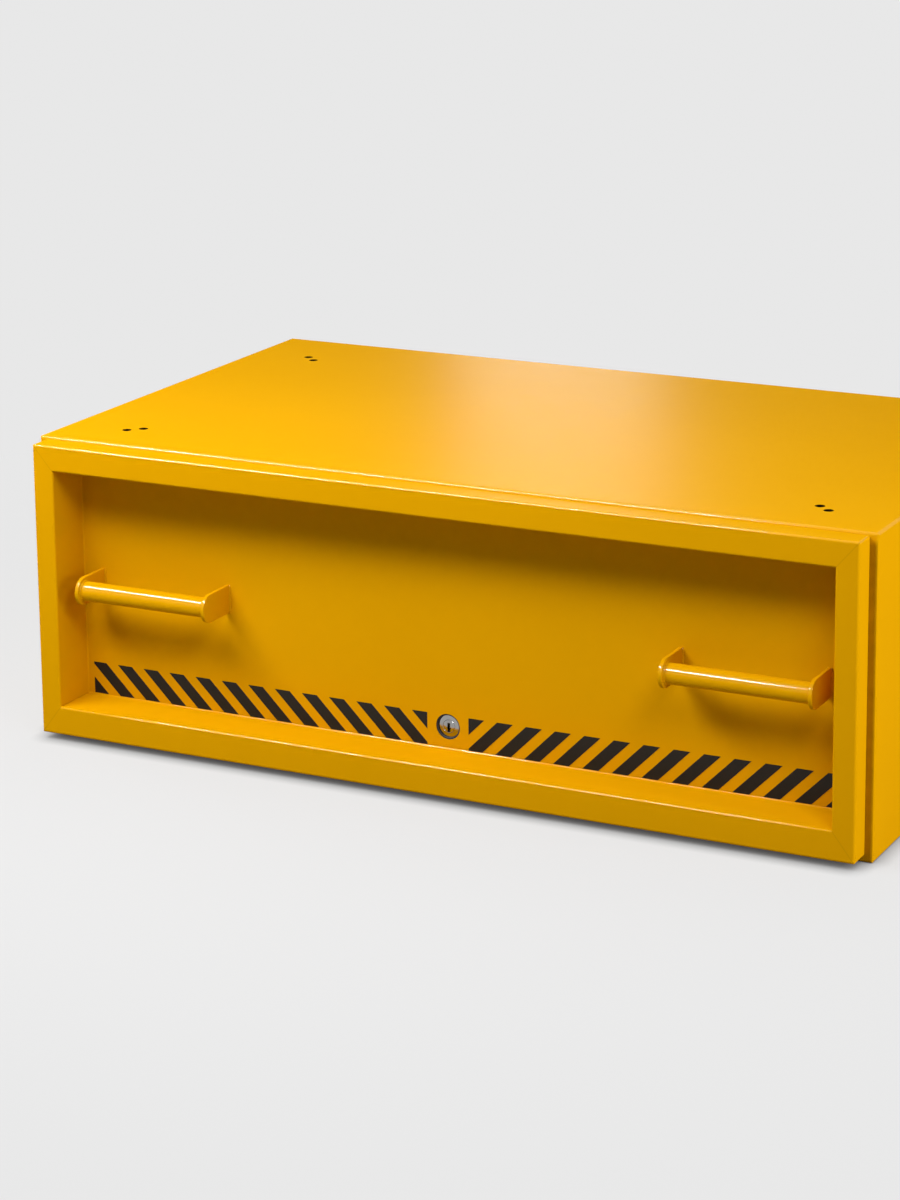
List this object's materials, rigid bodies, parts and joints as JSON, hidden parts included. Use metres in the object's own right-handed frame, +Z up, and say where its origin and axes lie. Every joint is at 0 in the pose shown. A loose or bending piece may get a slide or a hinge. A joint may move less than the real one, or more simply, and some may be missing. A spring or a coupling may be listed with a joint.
{
  "type": "tool vault",
  "caption": "Steel tool vault: a folded casing with one deep locking drawer on ball slides, a recessed front with bar handles and hazard stripes.",
  "frame": {"origin": "middle of the overall width and depth, on the floor", "axes": "+X to the right seen from the front, +Y from the front to the back, +Z up; the drawer opens along -Y"},
  "size_m": [1.19, 0.725, 0.416],
  "materials": {
    "yellow_paint": "semi-gloss powder coat",
    "zinc_steel": "zinc plated",
    "bearing_steel": "polished",
    "chrome_lock": "satin chrome",
    "black_vinyl": "matte film",
    "black_rubber": "matte"
  },
  "bodies": {
    "casing": {"casing_shell": "yellow_paint", "casing_floor": "yellow_paint", "casing_back": "yellow_paint", "top_fixing_plates": "yellow_paint", "floor_fixing_plates": "yellow_paint", "left_slide_bracket": "yellow_paint", "right_slide_bracket": "yellow_paint", "left_slide_outer": "zinc_steel", "right_slide_outer": "zinc_steel", "slide_outer_rivets": "zinc_steel", "rear_buffers": "black_rubber", "lock_keeper": "zinc_steel"},
    "left_middle_slide": {"left_slide_middle": "zinc_steel"},
    "right_middle_slide": {"right_slide_middle": "zinc_steel"},
    "left_outer_ball_cage": {"left_outer_cage": "zinc_steel", "left_outer_balls": "bearing_steel"},
    "left_inner_ball_cage": {"left_inner_cage": "zinc_steel", "left_inner_balls": "bearing_steel"},
    "right_outer_ball_cage": {"right_outer_cage": "zinc_steel", "right_outer_balls": "bearing_steel"},
    "right_inner_ball_cage": {"right_inner_cage": "zinc_steel", "right_inner_balls": "bearing_steel"},
    "lock_plug": {"lock_plug": "chrome_lock", "lock_crank": "zinc_steel"},
    "lock_bolt": {"lock_bolt": "zinc_steel"},
    "drawer": {"frame_top": "yellow_paint", "frame_bottom": "yellow_paint", "frame_left": "yellow_paint", "frame_right": "yellow_paint", "front_panel": "yellow_paint", "left_handle_tube": "yellow_paint", "right_handle_tube": "yellow_paint", "left_handle_plates": "yellow_paint", "right_handle_plates": "yellow_paint", "left_hazard_stripes": "black_vinyl", "right_hazard_stripes": "black_vinyl", "tray_floor": "yellow_paint", "tray_left_side": "yellow_paint", "tray_right_side": "yellow_paint", "tray_back": "yellow_paint", "tray_side_nuts": "zinc_steel", "left_slide_inner": "zinc_steel", "right_slide_inner": "zinc_steel", "slide_inner_rivets": "zinc_steel", "lock_body": "chrome_lock", "lock_body_screws": "zinc_steel", "lock_case": "zinc_steel", "lock_case_nuts": "zinc_steel", "lock_cover": "yellow_paint", "lock_cover_screws": "zinc_steel"}
  },
  "joints": [
    {"name": "drawer_slide", "type": "slide", "parent": "casing", "child": "drawer", "axis": [0, -1, 0], "range_m": [0, 0.56]},
    {"name": "left_middle_run", "type": "slide", "parent": "casing", "child": "left_middle_slide", "axis": [0, -1, 0], "range_m": [0, 0.28]},
    {"name": "left_outer_cage_run", "type": "slide", "parent": "casing", "child": "left_outer_ball_cage", "axis": [0, -1, 0], "range_m": [0, 0.14]},
    {"name": "left_inner_cage_run", "type": "slide", "parent": "casing", "child": "left_inner_ball_cage", "axis": [0, -1, 0], "range_m": [0, 0.42]},
    {"name": "right_middle_run", "type": "slide", "parent": "casing", "child": "right_middle_slide", "axis": [0, -1, 0], "range_m": [0, 0.28]},
    {"name": "right_outer_cage_run", "type": "slide", "parent": "casing", "child": "right_outer_ball_cage", "axis": [0, -1, 0], "range_m": [0, 0.14]},
    {"name": "right_inner_cage_run", "type": "slide", "parent": "casing", "child": "right_inner_ball_cage", "axis": [0, -1, 0], "range_m": [0, 0.42]},
    {"name": "lock_turn", "type": "hinge", "parent": "drawer", "child": "lock_plug", "pos_m": [0, -0.2925, 0.0785], "axis": [0, 1, 0], "range_deg": [0, 90]},
    {"name": "bolt_drop", "type": "slide", "parent": "drawer", "child": "lock_bolt", "axis": [0, 0, -1], "range_m": [0, 0.01414]}
  ],
  "couplings": [
    {"joint": "left_middle_run", "follows": "drawer_slide", "ratio": 0.5},
    {"joint": "left_outer_cage_run", "follows": "drawer_slide", "ratio": 0.25},
    {"joint": "left_inner_cage_run", "follows": "drawer_slide", "ratio": 0.75},
    {"joint": "right_middle_run", "follows": "drawer_slide", "ratio": 0.5},
    {"joint": "right_outer_cage_run", "follows": "drawer_slide", "ratio": 0.25},
    {"joint": "right_inner_cage_run", "follows": "drawer_slide", "ratio": 0.75},
    {"joint": "lock_turn", "follows": "bolt_drop", "rad_per_m": 111.11}
  ]
}
